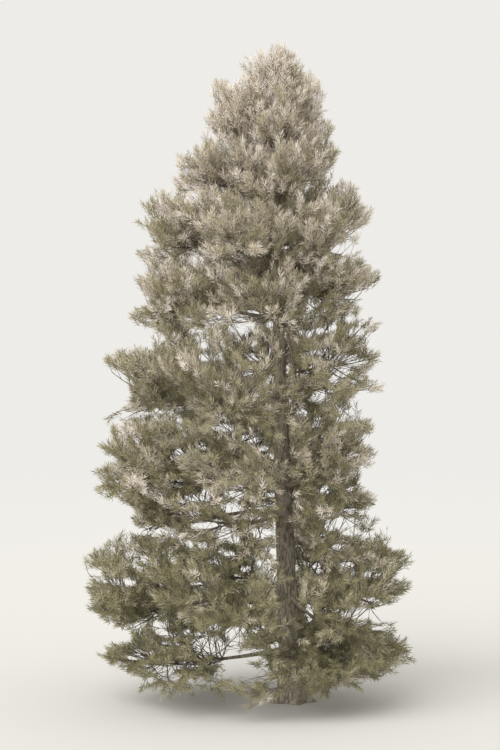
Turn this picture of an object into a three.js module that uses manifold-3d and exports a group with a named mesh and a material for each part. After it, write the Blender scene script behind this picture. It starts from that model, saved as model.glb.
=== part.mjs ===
// A mountain stone pine: one whole trunk, tapering boughs and separate masses of needle sprays.
// Sizes are in millimetres, Z is up, and the origin is the centre of the flat cut under the trunk.
// Seen along +Y, the crown reaches further to the left (-X) than to the right (+X).
import * as THREE from 'three';
import { mergeVertices } from 'three/addons/utils/BufferGeometryUtils.js';
import Module from 'manifold-3d';

const wasm = await Module();
wasm.setup();

const treeHeight = 12750;
const seatGap = 0.4; // between a limb and what carries it
const finestStep = 0.05; // what is finer than this after a cut or a join is left out
const finestNeedleStep = 3; // the same where sprays are joined
const fullTurn = 2 * Math.PI;
const goldenAngle = Math.PI * (3 - Math.sqrt(5));
const up = new THREE.Vector3(0, 0, 1);

const trunk = {
  height: 11800,
  tipRadius: 24,
  footRadius: 232, // without the root flare
  taperPower: 0.86,
  flareRadius: 175,
  flareHeight: 330,
  fluteCount: 5,
  fluteDepth: 0.2, // share of the radius, at the ground
  fluteTurn: 0.6,
  lean: { left: 285, turn: 2.12 }, // how far the axis bows, and through what part of a wave up to the top
  sway: { back: 70, turn: 4 }, // the same in depth
  sides: 12,
  rings: 14,
  ringCrowding: 1.9, // rings stand closer towards the flare
};

const bough = {
  leastReach: 2750, // a shorter limb has its foliage right from the trunk
  baseRadius: 16,
  radiusPerReach: 0.0105,
  tipShare: 0.62, // of its foot radius, where the foliage begins
  ends: [0.27, 0.36], // share of the limb that is bare
  collar: 0.55, // swelling where it leaves the trunk
  collarLength: 130,
  sides: 5,
  rings: 3,
};

// The way of a limb through its storey. Levels are shares of the storey's height.
const limb = {
  footLevel: 0.24,
  tipLevels: [0.2, 0.45],
  shortest: 0.86, // share of the crown's reach, where it isn't seen against the sky
  skylineCosine: 0.9, // of the turn from the left or the right up to which it is
  bend: 0.1, // sideways, in radians
  bareFootShare: 0.8, // of a bough's radius, where there is no bough
  bends: 4,
  stemSides: 4,
  stemRings: 2,
};

const twig = {
  count: 0.75, // on each metre of stem
  more: 1.5, // than by its length
  least: 3,
  footShares: [0.03, 0.8], // of the reach, beyond the bough
  places: [0.03, 0.93], // share of the stem that can carry them
  levels: [0.86, 0.04, 0.6, 0.2], // at which they end, in turn
  sideways: [0.47, 0.62], // share of the way to the next mass
  ahead: 0.13, // share of the reach between its foot and its end
  outermost: 0.86, // share of the reach at which the last ones end
  radius: 17,
  mostRadius: 0.8, // share of the stem's radius there
  taper: 0.45,
  beyondSpray: 0.02, // share of its length, past the last spray
  sides: 3,
  stemEndRadius: 14,
};

const spray = {
  spacing: 400, // along a twig
  stemSpacing: 300, // along the stem
  length: 1200,
  width: 960,
  sizes: [1, 0.85, 0.7], // tried in turn where the room is narrow
  teeth: 3,
  toothShares: [0.55, 0.66, 0.77], // how far along its length they stand
  notchShare: 0.62,
  notchWidth: 0.2, // share of the width, in a notch
  rootDepth: 8, // beyond the axis of its twig
  lengths: [0.9, 1.1], // longer and shorter ones
  lastPlace: 0.98, // share of the way along, of the one at the end
  beforeStep: [0.3, 0.6], // how far short of its full step each other one stands, in steps
  spreads: [0.8, 0.98, 1.15], // how far a side spray turns off its twig
  endSpread: 0.35, // and the one at the twig's end
  lean: 0.3, // how far it turns away from the trunk
  upright: [0.1, 1.1], // how far it turns up, at the ground and at the top
  uprightPower: 1.6,
  choices: 12, // directions that are compared for each spray
  sampleShares: [0.4, 0.7, 1], // where along it the air round it is measured
  leastAir: 0.452, // share of its width
  tipWidth: 0.55, // share of the length of the spray at a stem's end
  beyondStem: 0.62, // share of a spray's length between the stem's end and the crown's edge
};

// The storeys of the crown, from the ground up. Pairs give the left edge and the right edge.
// ceiling: height at the crown's edge. rise: how much lower that ceiling is at the trunk.
// reach: from the trunk to the tips. start: the turn of the first mass, in degrees.
const crownFloor = { ceiling: [300, 660], rise: -520, reach: [1200, 900] };
const storeys = [
  { name: 'skirt', ceiling: [1400, 1560], rise: -160, reach: [3560, 2420], masses: 3, start: 176 },
  { name: 'low', ceiling: [3100, 3200], rise: -420, reach: [3960, 2440], masses: 6, start: 183 },
  { name: 'lower', ceiling: [4000, 4450], rise: -150, reach: [3350, 1750], masses: 5, start: 160 },
  { name: 'knee', ceiling: [5580, 5900], rise: 120, reach: [3620, 1880], masses: 5, start: 184 },
  { name: 'middle', ceiling: [7150, 7800], rise: 0, reach: [3480, 2060], masses: 5, start: 170 },
  { name: 'waist', ceiling: [8600, 8900], rise: 180, reach: [2820, 1950], masses: 5, start: 190 },
  { name: 'upper', ceiling: [9900, 10200], rise: 420, reach: [2680, 1900], masses: 5, start: 172 },
  { name: 'shoulder', ceiling: [11100, 11350], rise: 700, reach: [2080, 1240], masses: 4, start: 186 },
  { name: 'crown', ceiling: [12200, 12350], rise: 800, reach: [1480, 1000], masses: 3, start: 168 },
];
// More or fewer twigs, in a storey.
const fills = {
  skirt: 0.7,
  low: 0.8,
  lower: 0.75,
  knee: 0.85,
  middle: 0.85,
  waist: 0.9,
  upper: 0.9,
  shoulder: 1.3,
  crown: 1.4,
};

// The blunt top: a ring of low shoots and a ring of high ones, round the leader.
const topShoots = {
  count: 5, // in each ring
  spreads: [700, 504], // low ring, high ring
  below: [480, 0], // under the highest tips
  rootShares: [0.35, 0.75], // of the leader's height
  rootSpread: [0.8, 1.1],
  left: 300, // how much further they reach on the left
  outs: [0.85, 1], // share of their spread
  drops: [30, 220], // of their tips
  width: 0.5, // share of their length
  highestRoot: 0.97, // of the leader's own shoot
  leaderSides: 5,
};

// The seeds of the random streams.
const seeds = { limbs: 1000, limbStep: 37, needles: 9000, top: 77 };

const room = {
  betweenStoreys: 10,
  betweenMasses: 15, // clear space on each side of the face between two masses
  swing: 0.14, // share of the reach by which the storeys swing up and down round the tree
  secondSwing: 0.5, // share of the swing that goes round twice
  ripple: { height: 180, count: 13, twist: 4, phase: 350 }, // waves round the tree that turn outwards
  boughClear: 110, // between a bough's axis and the sprays
  trunkClear: 60,
};

// A seeded random stream, so that the same tree grows every time.
function randomStream(seed) {
  let state = seed >>> 0;
  return () => {
    state = (state + 0x6d2b79f5) >>> 0;
    let mixed = Math.imul(state ^ (state >>> 15), state | 1);
    mixed ^= mixed + Math.imul(mixed ^ (mixed >>> 7), mixed | 61);
    return ((mixed ^ (mixed >>> 14)) >>> 0) / 4294967296;
  };
}

const lerp = THREE.MathUtils.lerp;
const clamp = THREE.MathUtils.clamp;

function trunkCentre(z) {
  const share = z / treeHeight;
  const { lean, sway } = trunk;
  const x = -lean.left * Math.sin(lean.turn * share);
  const y = sway.back * Math.sin(sway.turn * share);
  return new THREE.Vector3(x, y, z);
}

function trunkRadius(z, angle) {
  const taper = Math.max(0, 1 - z / trunk.height) ** trunk.taperPower;
  const round = trunk.tipRadius + (trunk.footRadius - trunk.tipRadius) * taper;
  const flare = Math.exp(-z / trunk.flareHeight);
  const flute = 1 + trunk.fluteDepth * flare * Math.cos(trunk.fluteCount * angle + trunk.fluteTurn);
  return (round + trunk.flareRadius * flare) * flute;
}

// One value at the crown's left edge, another at its right edge, and a smooth turn between them.
function aroundTree([left, right], turn) {
  return (left + right) / 2 - ((left - right) / 2) * Math.cos(turn);
}

// The top of a storey. Between its left edge and its right edge it swings down in front and up behind, and
// shorter waves run over it halfway out, so that the gaps between the storeys don't line up.
function ceilingHeight(level, turn, share) {
  const edge = aroundTree(level.ceiling, turn);
  const swing = Math.sin(turn) + room.secondSwing * Math.sin(2 * turn);
  const lift = room.swing * swing * aroundTree(level.reach, turn) * Math.sqrt(share);
  const { ripple } = room;
  const wave = Math.sin(ripple.count * turn + ripple.twist * share + level.ceiling[0] / ripple.phase);
  return edge - level.rise * (1 - share) + lift + ripple.height * wave * share * (1 - share) * 4;
}

// The floor and the ceiling of a storey at one place.
function storeyHeights(index, turn, share) {
  const below = index > 0 ? storeys[index - 1] : crownFloor;
  const low = ceilingHeight(below, turn, share) + room.betweenStoreys;
  return { low, high: ceilingHeight(storeys[index], turn, share) };
}

// The point at a turn round the trunk, a share of the storey's reach and a level of its height.
function crownPoint(index, turn, share, level) {
  const { low, high } = storeyHeights(index, turn, share);
  const z = lerp(low, high, level);
  const out = share * aroundTree(storeys[index].reach, turn);
  return trunkCentre(z).add(new THREE.Vector3(out * Math.cos(turn), out * Math.sin(turn), 0));
}

// Where a point is, seen from the trunk's axis.
function placeRound(point) {
  const centre = trunkCentre(point.z);
  const x = point.x - centre.x;
  const y = point.y - centre.y;
  return { out: Math.hypot(x, y), turn: Math.atan2(y, x) };
}

// Whether a point is in the space of a mass: its storey, its slice round the trunk, and the crown's reach.
function inSpace(mass, point) {
  const { out, turn } = placeRound(point);
  const share = out / aroundTree(storeys[mass.storey].reach, turn);
  if (share > 1) return false;
  const { low, high } = storeyHeights(mass.storey, turn, share);
  if (point.z < low || point.z > high) return false;
  if (out < trunkRadius(point.z, turn) + room.trunkClear) return false;
  const offTurn = Math.abs(THREE.MathUtils.euclideanModulo(turn - mass.turn + Math.PI, fullTurn) - Math.PI);
  return (mass.halfSlice - offTurn) * out > room.betweenMasses;
}

// Whether a point is above the last storey.
function inTopSpace(point) {
  const { out, turn } = placeRound(point);
  const last = storeys[storeys.length - 1];
  return point.z > ceilingHeight(last, turn, out / aroundTree(last.reach, turn)) + room.betweenStoreys;
}

function distanceTo(line, point) {
  return line.closestPointToPoint(point, true, new THREE.Vector3()).distanceTo(point);
}

function clearOfBough(mass, point) {
  if (!mass.boughLine) return true;
  const axis = new THREE.Line3(mass.boughLine.getPoint(0), mass.boughLine.getPoint(1));
  return distanceTo(axis, point) > room.boughClear;
}

// A manifold solid from a closed three.js geometry.
function solidOf(geometry) {
  for (const name of ['normal', 'uv']) geometry.deleteAttribute(name);
  const merged = mergeVertices(geometry, 1e-3);
  const vertProperties = new Float32Array(merged.getAttribute('position').array);
  const triVerts = new Uint32Array(merged.index.array);
  return new wasm.Manifold(new wasm.Mesh({ numProp: 3, vertProperties, triVerts }));
}

// A closed tapering limb: the rings of a cylinder laid along a curve. Level rings stay horizontal.
function limbSolid(curve, radiusAt, sides, rings, level = false, ringShare = (share) => share) {
  const geometry = new THREE.CylinderGeometry(1, 1, 1, sides, rings);
  const position = geometry.getAttribute('position');
  const chord = curve.getPoint(1).sub(curve.getPoint(0)).normalize();
  const upright = Math.abs(chord.z) > 0.8;
  const reference = new THREE.Vector3(0, upright ? 1 : 0, upright ? 0 : 1);
  for (let i = 0; i < position.count; i += 1) {
    const share = ringShare(clamp(position.getY(i) + 0.5, 0, 1));
    const along = level ? up : curve.getTangent(share);
    const across = reference.clone().cross(along).normalize();
    const over = across.clone().cross(along);
    const angle = Math.atan2(-position.getZ(i), position.getX(i));
    const radius = radiusAt(share, angle);
    const point = curve.getPoint(share);
    point.addScaledVector(across, position.getX(i) * radius);
    point.addScaledVector(over, position.getZ(i) * radius);
    position.setXYZ(i, point.x, point.y, point.z);
  }
  return solidOf(geometry);
}

class TrunkLine extends THREE.Curve {
  getPoint(share, target = new THREE.Vector3()) {
    return target.copy(trunkCentre(share * trunk.height));
  }
}

function trunkSolid(extra) {
  const radiusAt = (share, angle) => trunkRadius(share * trunk.height, angle) + extra;
  const ringShare = (share) => share ** trunk.ringCrowding;
  return limbSolid(new TrunkLine(), radiusAt, trunk.sides, trunk.rings, true, ringShare);
}

// The corners of a needle spray: its root, its tip, the teeth round it and a notch between each two teeth.
function sprayPoints(root, direction, length, width, roll) {
  const side = new THREE.Vector3(-direction.y, direction.x, 0).normalize();
  const over = direction.clone().cross(side);
  const points = [
    root.clone().addScaledVector(direction, -spray.rootDepth),
    root.clone().addScaledVector(direction, length),
  ];
  for (let k = 0; k < 2 * spray.teeth; k += 1) {
    const angle = roll + (k * Math.PI) / spray.teeth;
    const isTooth = k % 2 === 0;
    const along = isTooth ? spray.toothShares[(k / 2) % spray.toothShares.length] : spray.notchShare;
    const out = (isTooth ? 1 : spray.notchWidth) * (width / 2);
    const point = root.clone().addScaledVector(direction, along * length);
    point.addScaledVector(side, out * Math.cos(angle)).addScaledVector(over, out * Math.sin(angle));
    points.push(point);
  }
  return points;
}

// A plain cone from the root to the teeth, and notches between the teeth and the tip.
function spraySolid(points) {
  const faces = [];
  const ring = points.length - 2;
  for (let k = 0; k < ring; k += 2) {
    const tooth = 2 + k;
    const notch = tooth + 1;
    const nextTooth = 2 + ((k + 2) % ring);
    faces.push(0, nextTooth, tooth, tooth, nextTooth, notch, 1, tooth, notch, 1, notch, nextTooth);
  }
  const geometry = new THREE.BufferGeometry().setFromPoints(points);
  geometry.setIndex(faces);
  return solidOf(geometry);
}

// Places along a spray's middle, where it is compared with its neighbours.
function sprayMiddle([root, tip]) {
  return spray.sampleShares.map((share) => root.clone().lerp(tip, share));
}

// How much clear air a spray would have, from the limbs of its mass and from the sprays that are there.
function airRound(mass, points) {
  const middle = sprayMiddle(points);
  const toLimbs = mass.limbLines.flatMap((line) => middle.map((point) => distanceTo(line, point)));
  const toSprays = mass.sprays.flatMap((other) => middle.flatMap((p) => other.map((q) => p.distanceTo(q))));
  return Math.min(2 * Math.min(...toLimbs), ...toSprays);
}

// Adds a spray in the direction that has the most air round it, at the longest size that fits inside the
// mass's space and clear of its bough, and tells whether there was room for one.
function addSpray(mass, solids, root, directions, length, roll) {
  const fits = (point) => inSpace(mass, point) && clearOfBough(mass, point);
  for (const size of spray.sizes) {
    const width = size * spray.width;
    const [best] = directions
      .map((direction) => sprayPoints(root, direction, size * length, width, roll))
      .filter((points) => points.slice(1).every(fits))
      .map((points) => ({ points, air: airRound(mass, points) }))
      .sort((one, other) => other.air - one.air);
    if (best && best.air > spray.leastAir * width) {
      mass.sprays.push(sprayMiddle(best.points));
      solids.push(spraySolid(best.points));
      return true;
    }
  }
  return false;
}

// Needles in the upper crown stand up, and lower down they only lift a little.
function uprightness(z) {
  return lerp(...spray.upright, (z / treeHeight) ** spray.uprightPower);
}

// The unit vector away from the trunk at a point.
function outwardAt(point) {
  const { turn } = placeRound(point);
  return new THREE.Vector3(Math.cos(turn), Math.sin(turn), 0);
}

// A direction that leaves a line at a given spread and turn round it, then leans out and up as needles do.
function sprayDirection(along, turn, spread, point) {
  const side = new THREE.Vector3().crossVectors(along, up).normalize();
  const over = side.clone().cross(along);
  const direction = along.clone().addScaledVector(side, spread * Math.cos(turn));
  direction.addScaledVector(over, spread * Math.sin(turn));
  direction.addScaledVector(outwardAt(point), spray.lean).normalize();
  direction.z += uprightness(point.z);
  return direction.normalize();
}

// The sprays along a line, turned round it by the golden angle, and one at its end where it is a twig.
// Gives the share of the line where the last one stands.
function addSprays(mass, solids, random, line, count, isTwig) {
  let lastShare = 0;
  for (let k = 1; k <= count; k += 1) {
    const last = isTwig && k === count;
    const share = last ? spray.lastPlace : (k - lerp(...spray.beforeStep, random())) / count;
    const root = line.getPoint(share);
    const along = line.getTangent(share);
    mass.sprayTurn += goldenAngle;
    const directions = [];
    for (let choice = 0; choice < spray.choices; choice += 1) {
      const spread = spray.spreads[choice % spray.spreads.length] * (last ? spray.endSpread : 1);
      const turn = mass.sprayTurn + (choice * fullTurn) / spray.choices;
      directions.push(sprayDirection(along, turn, spread, root));
    }
    const length = spray.length * lerp(...spray.lengths, random());
    if (addSpray(mass, solids, root, directions, length, random() * Math.PI)) lastShare = share;
  }
  return lastShare;
}

// Twigs leave the stem left and right in turn, and end at different heights of the storey.
function planTwigs(mass, random) {
  const fill = fills[storeys[mass.storey].name];
  const wanted = Math.round((mass.stem.getLength() / 1000) * twig.count * fill + twig.more);
  const number = Math.max(twig.least, wanted);
  const twigs = [];
  for (let j = 0; j < number; j += 1) {
    const step = (j + 0.5 * random()) / (number - 0.5);
    const share = lerp(mass.stemShare + twig.footShares[0], twig.footShares[1], step);
    const place = clamp((share - mass.stemShare) / (1 - mass.stemShare), ...twig.places);
    const hand = (j + mass.number) % 2 === 0 ? 1 : -1;
    const turn = mass.turn + hand * mass.halfSlice * lerp(...twig.sideways, random());
    const level = twig.levels[(j + mass.serial) % twig.levels.length];
    const end = crownPoint(mass.storey, turn, Math.min(twig.outermost, share + twig.ahead), level);
    const radius = Math.min(twig.radius, twig.mostRadius * mass.stemRadius(place));
    twigs.push({ line: new THREE.LineCurve3(mass.stem.getPoint(place), end), radius });
  }
  return twigs;
}

// The spray at the end of the stem reaches the very edge of the crown.
function addTipSpray(mass, solids) {
  const root = mass.stem.getPoint(spray.lastPlace);
  const direction = mass.tip.clone().sub(root);
  const length = direction.length();
  const points = sprayPoints(root, direction.normalize(), length, spray.tipWidth * length, mass.number);
  mass.sprays.push(sprayMiddle(points));
  solids.push(spraySolid(points));
}

function joined(solids) {
  return solids.reduce((whole, piece) => whole.add(piece)).simplify(finestNeedleStep);
}

// What a cut or a join leaves beside the main body is dropped, and needless corners go.
function mainBody(solid) {
  const bodies = solid.decompose();
  const largest = bodies.reduce((one, other) => (other.volume() > one.volume() ? other : one));
  return largest.simplify(finestStep);
}

const trunkCutter = trunkSolid(seatGap);

// One limb of the crown: its line from the trunk out, its bough where it is long, and the stem of its mass.
function planMass(storeyIndex, number, serial) {
  const storey = storeys[storeyIndex];
  const random = randomStream(seeds.limbs + seeds.limbStep * serial);
  const slice = fullTurn / storey.masses;
  const turn = THREE.MathUtils.degToRad(storey.start) + number * slice;
  const edge = aroundTree(storey.reach, turn);
  const atSkyline = Math.abs(Math.cos(turn)) > limb.skylineCosine;
  const reach = edge * (atSkyline ? 1 : lerp(limb.shortest, 1, random()));
  const hasBough = edge > bough.leastReach;
  const stemShare = hasBough ? lerp(...bough.ends, random()) : 0;
  const bend = lerp(-limb.bend, limb.bend, random());
  const tipLevel = lerp(...limb.tipLevels, random());
  const linePoint = (share) => {
    const level = lerp(limb.footLevel, tipLevel, share);
    return crownPoint(storeyIndex, turn + bend * share * share, (share * reach) / edge, level);
  };
  const part = (from, to) => {
    const shares = Array.from({ length: limb.bends + 1 }, (_, k) => k / limb.bends);
    return new THREE.CatmullRomCurve3(shares.map((share) => linePoint(lerp(from, to, share))));
  };
  const footRadius = bough.baseRadius + bough.radiusPerReach * edge;
  const endRadius = footRadius * bough.tipShare;
  const stem = part(stemShare, 1 - (spray.beyondStem * spray.length) / reach);
  const stemFoot = hasBough ? endRadius : footRadius * limb.bareFootShare;
  const stemRadius = (share) => lerp(stemFoot, twig.stemEndRadius, share);
  const tip = linePoint(1);
  const place = { storey: storeyIndex, number, serial, turn, halfSlice: slice / 2 };
  const mass = { ...place, stemShare, stem, stemRadius, tip };
  if (hasBough) {
    mass.boughLine = part(0, stemShare);
    mass.boughRadius = (share) => {
      const bare = share * stemShare * reach - trunkRadius(linePoint(0).z, turn);
      const collar = share < 1 ? bough.collar * Math.exp(-Math.max(0, bare) / bough.collarLength) : 0;
      return lerp(footRadius, endRadius, share) * (1 + collar);
    };
    // The stem starts a seat gap beyond the end face of its bough, and in line with it.
    const away = mass.boughLine.getTangent(1);
    const firstStep = stem.points[0].distanceTo(stem.points[1]);
    stem.points[0] = mass.boughLine.getPoint(1).addScaledVector(away, seatGap);
    stem.points[1] = stem.points[0].clone().addScaledVector(away, firstStep);
  }
  mass.twigs = planTwigs(mass, random);
  mass.limbLines = mass.twigs.map(({ line }) => new THREE.Line3(line.v1, line.v2));
  const stemPoints = stem.getPoints(limb.bends);
  for (let k = 1; k < stemPoints.length; k += 1) {
    mass.limbLines.push(new THREE.Line3(stemPoints[k - 1], stemPoints[k]));
  }
  mass.sprays = [];
  mass.sprayTurn = serial;
  return mass;
}

const sides = ['right', 'right_back', 'back', 'left_back', 'left', 'left_front', 'front', 'right_front'];

function sideName(turn) {
  const eighth = Math.round(turn / (Math.PI / 4));
  return sides[THREE.MathUtils.euclideanModulo(eighth, sides.length)];
}

function foliageSolid(mass) {
  const random = randomStream(seeds.needles + mass.serial);
  const solids = [limbSolid(mass.stem, mass.stemRadius, limb.stemSides, limb.stemRings)];
  addTipSpray(mass, solids);
  for (const { line, radius } of mass.twigs) {
    const wanted = Math.max(1, Math.round(line.getLength() / spray.spacing));
    const lastShare = addSprays(mass, solids, random, line, wanted, true);
    if (lastShare > 0) {
      const living = new THREE.LineCurve3(line.v1, line.getPoint(lastShare + twig.beyondSpray));
      solids.push(limbSolid(living, (share) => radius * (1 - twig.taper * share), twig.sides, 1));
    }
  }
  addSprays(mass, solids, random, mass.stem, Math.round(mass.stem.getLength() / spray.stemSpacing), false);
  const whole = joined(solids);
  return mainBody(mass.boughLine ? whole : whole.subtract(trunkCutter));
}

function boughSolid(mass) {
  const whole = limbSolid(mass.boughLine, mass.boughRadius, bough.sides, bough.rings);
  return mainBody(whole.subtract(trunkCutter));
}

// The leader and the upright shoots round it.
function topSolid() {
  const random = randomStream(seeds.top);
  const foot = trunkCentre(trunk.height).addScaledVector(up, seatGap);
  const leader = new THREE.LineCurve3(foot, trunkCentre(treeHeight - spray.beyondStem * spray.length));
  const leaderRadius = (share) => lerp(trunk.tipRadius, twig.stemEndRadius, share);
  const solids = [limbSolid(leader, leaderRadius, topShoots.leaderSides, 1, true)];
  const shoots = [{ tip: trunkCentre(treeHeight), rootShare: topShoots.highestRoot }];
  for (let k = 0; k < 2 * topShoots.count; k += 1) {
    const ring = k < topShoots.count ? 0 : 1;
    const turn = k * goldenAngle;
    const out = topShoots.spreads[ring] * lerp(...topShoots.outs, random());
    const x = out * Math.cos(turn) - topShoots.left * Math.max(0, -Math.cos(turn));
    const tip = trunkCentre(treeHeight - topShoots.below[ring] - lerp(...topShoots.drops, random()));
    tip.add(new THREE.Vector3(x, out * Math.sin(turn), 0));
    shoots.push({ tip, rootShare: topShoots.rootShares[ring] * lerp(...topShoots.rootSpread, random()) });
  }
  for (const [roll, { tip, rootShare }] of shoots.entries()) {
    const root = leader.getPoint(rootShare);
    const direction = tip.clone().sub(root);
    const length = direction.length();
    const points = sprayPoints(root, direction.normalize(), length, topShoots.width * length, roll);
    if (points.slice(1).every(inTopSpace)) solids.push(spraySolid(points));
  }
  return mainBody(joined(solids));
}

const materials = {
  bark: new THREE.MeshStandardMaterial({ color: 0x5b5148, roughness: 0.95, metalness: 0 }),
  needles: new THREE.MeshStandardMaterial({ color: 0x4a5138, roughness: 0.7, metalness: 0 }),
};

const tree = new THREE.Group();

function addNode(name, solid, material) {
  const { vertProperties, triVerts } = solid.getMesh();
  const geometry = new THREE.BufferGeometry();
  geometry.setAttribute('position', new THREE.BufferAttribute(vertProperties, 3));
  geometry.setIndex(new THREE.BufferAttribute(triVerts, 1));
  geometry.computeVertexNormals();
  const mesh = new THREE.Mesh(geometry, material);
  mesh.name = name;
  tree.add(mesh);
}

addNode('trunk', trunkSolid(0), materials.bark);
let serial = 0;
for (const [storeyIndex, storey] of storeys.entries()) {
  for (let number = 0; number < storey.masses; number += 1) {
    const mass = planMass(storeyIndex, number, serial);
    const place = `${storey.name}_${sideName(mass.turn)}`;
    if (mass.boughLine) addNode(`bough_${place}`, boughSolid(mass), materials.bark);
    addNode(`foliage_${place}`, foliageSolid(mass), materials.needles);
    serial += 1;
  }
}
addNode('foliage_top', topSolid(), materials.needles);

export default tree;
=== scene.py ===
import math

import bpy
import numpy as np
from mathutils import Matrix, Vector, noise


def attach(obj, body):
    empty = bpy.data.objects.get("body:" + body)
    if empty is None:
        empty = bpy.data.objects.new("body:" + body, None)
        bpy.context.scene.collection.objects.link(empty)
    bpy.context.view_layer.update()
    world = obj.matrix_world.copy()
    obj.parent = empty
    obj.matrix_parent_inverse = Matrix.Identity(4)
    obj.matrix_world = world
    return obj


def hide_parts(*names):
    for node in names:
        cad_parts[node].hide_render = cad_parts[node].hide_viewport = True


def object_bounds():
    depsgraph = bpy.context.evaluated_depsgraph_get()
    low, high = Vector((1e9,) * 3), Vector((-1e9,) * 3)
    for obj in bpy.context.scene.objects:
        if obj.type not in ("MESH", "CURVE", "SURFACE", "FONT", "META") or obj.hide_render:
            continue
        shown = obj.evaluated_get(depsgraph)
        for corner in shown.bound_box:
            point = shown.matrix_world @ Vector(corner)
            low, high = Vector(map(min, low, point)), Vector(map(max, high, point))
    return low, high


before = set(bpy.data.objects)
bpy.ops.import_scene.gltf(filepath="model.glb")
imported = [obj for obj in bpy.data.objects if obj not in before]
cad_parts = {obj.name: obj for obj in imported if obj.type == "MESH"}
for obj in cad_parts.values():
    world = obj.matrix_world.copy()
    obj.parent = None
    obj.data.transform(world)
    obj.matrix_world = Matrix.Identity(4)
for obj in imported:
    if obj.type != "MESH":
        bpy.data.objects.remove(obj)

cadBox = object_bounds()
nodeNames = sorted(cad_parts)
foliageNodes = [name for name in nodeNames if name.startswith("foliage")]
boughNodes = [name for name in nodeNames if name.startswith("bough")]
fullTurn = 2 * math.pi
goldenAngle = math.pi * (3 - math.sqrt(5))
upward = np.array([0.0, 0.0, 1.0])
shortest = 1e-9  # length of a vector that is taken as none
nudge = 0.01  # keeps two directions from being the same, so that a third one can stand across them


# camera, floor and light

studio = {
    "lens": 100.0,
    "sensor": 36.0,
    "clipEnd": 480.0,
    "elevation": 1.6,  # degrees above the horizon
    "treeShare": 0.87,  # of the picture's height
    "skyColor": (0.90, 0.885, 0.85),
    "skyStrength": 0.95,
    "floorColor": (0.69, 0.68, 0.65),
    "floorRoughness": 0.9,
    "floorRadius": 160.0,
    "floorSides": 96,
    "floorFade": (16.0, 60.0),  # metres from the trunk over which the floor runs into the sky
    "sunStrength": 2.2,
    "sunAngle": 65.0,
    "sunTurn": (52.0, 0.0, -38.0),
}


def cameraBack():
    tilt = math.radians(studio["elevation"])
    return Vector((0, -math.cos(tilt), math.sin(tilt)))


def cameraPlace():
    low, high = cadBox
    height = (high.z - low.z) / studio["treeShare"]
    return (low + high) / 2 + cameraBack() * height * studio["lens"] / studio["sensor"]


def addObject(name, data):
    added = bpy.data.objects.new(name, data)
    bpy.context.scene.collection.objects.link(added)
    return added


def makeCamera():
    data = bpy.data.cameras.new("camera")
    data.lens = studio["lens"]
    data.sensor_width = studio["sensor"]
    data.clip_end = studio["clipEnd"]
    camera = addObject("camera", data)
    camera.location = cameraPlace()
    camera.rotation_mode = "QUATERNION"
    camera.rotation_quaternion = (-cameraBack()).to_track_quat("-Z", "Y")
    bpy.context.scene.camera = camera


def makeLight():
    world = bpy.data.worlds.new("softSky")
    world.use_nodes = True
    background = world.node_tree.nodes["Background"]
    background.inputs["Color"].default_value = (*studio["skyColor"], 1)
    background.inputs["Strength"].default_value = studio["skyStrength"]
    bpy.context.scene.world = world
    data = bpy.data.lights.new("softSun", "SUN")
    data.energy = studio["sunStrength"]
    data.angle = math.radians(studio["sunAngle"])
    sun = addObject("softSun", data)
    sun.rotation_euler = [math.radians(turn) for turn in studio["sunTurn"]]
    bpy.context.scene.view_settings.view_transform = "Standard"


def addNode(material, kind, values=None, **settings):
    node = material.node_tree.nodes.new(kind)
    for name, value in settings.items():
        setattr(node, name, value)
    for name, value in (values or {}).items():
        node.inputs[name].default_value = value
    return node


# A material with its main shader and the coordinates of the piece that it's on.
def newMaterial(name, roughness, specular=0.5):
    material = bpy.data.materials.new(name)
    material.use_nodes = True
    surface = material.node_tree.nodes["Principled BSDF"]
    surface.inputs["Roughness"].default_value = roughness
    surface.inputs["Specular IOR Level"].default_value = specular
    return material, surface, addNode(material, "ShaderNodeTexCoord").outputs["Object"]


def makeFloor():
    radius = studio["floorRadius"]
    turns = [k * fullTurn / studio["floorSides"] for k in range(studio["floorSides"])]
    ring = [(radius * math.cos(turn), radius * math.sin(turn), 0) for turn in turns]
    mesh = bpy.data.meshes.new("floor")
    mesh.from_pydata(ring, [], [list(range(len(ring)))])
    floor = addObject("floor", mesh)
    material, surface, place = newMaterial("paleFloor", studio["floorRoughness"])
    surface.inputs["Base Color"].default_value = (*studio["floorColor"], 1)
    distance = addNode(material, "ShaderNodeVectorMath", operation="LENGTH")
    near, far = studio["floorFade"]
    fade = addNode(material, "ShaderNodeMapRange", {"From Min": near, "From Max": far})
    skyLight = {"Color": (*studio["skyColor"], 1), "Strength": studio["skyStrength"]}
    haze = addNode(material, "ShaderNodeEmission", skyLight)
    mix = addNode(material, "ShaderNodeMixShader")
    links = material.node_tree.links
    links.new(place, distance.inputs[0])
    links.new(distance.outputs["Value"], fade.inputs["Value"])
    links.new(fade.outputs["Result"], mix.inputs["Fac"])
    links.new(surface.outputs["BSDF"], mix.inputs[1])
    links.new(haze.outputs["Emission"], mix.inputs[2])
    links.new(mix.outputs["Shader"], material.node_tree.nodes["Material Output"].inputs["Surface"])
    mesh.materials.append(material)


# the tree's plan: the same sizes and rules as the solids, in metres

treeHeight = 12.75

trunk = {
    "height": 11.8,
    "tipRadius": 0.024,
    "footRadius": 0.232,
    "taperPower": 0.86,
    "flareRadius": 0.175,
    "flareHeight": 0.33,
    "fluteCount": 5,
    "fluteDepth": 0.2,
    "fluteTurn": 0.6,
    "leanLeft": 0.285,
    "leanTurn": 2.12,
    "swayBack": 0.07,
    "swayTurn": 4.0,
}

# The bough and the stem of each mass: the points of their lines, and the seeds that they are drawn with.
limb = {"points": 5, "firstSeed": 1000, "seedStep": 37}

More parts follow.
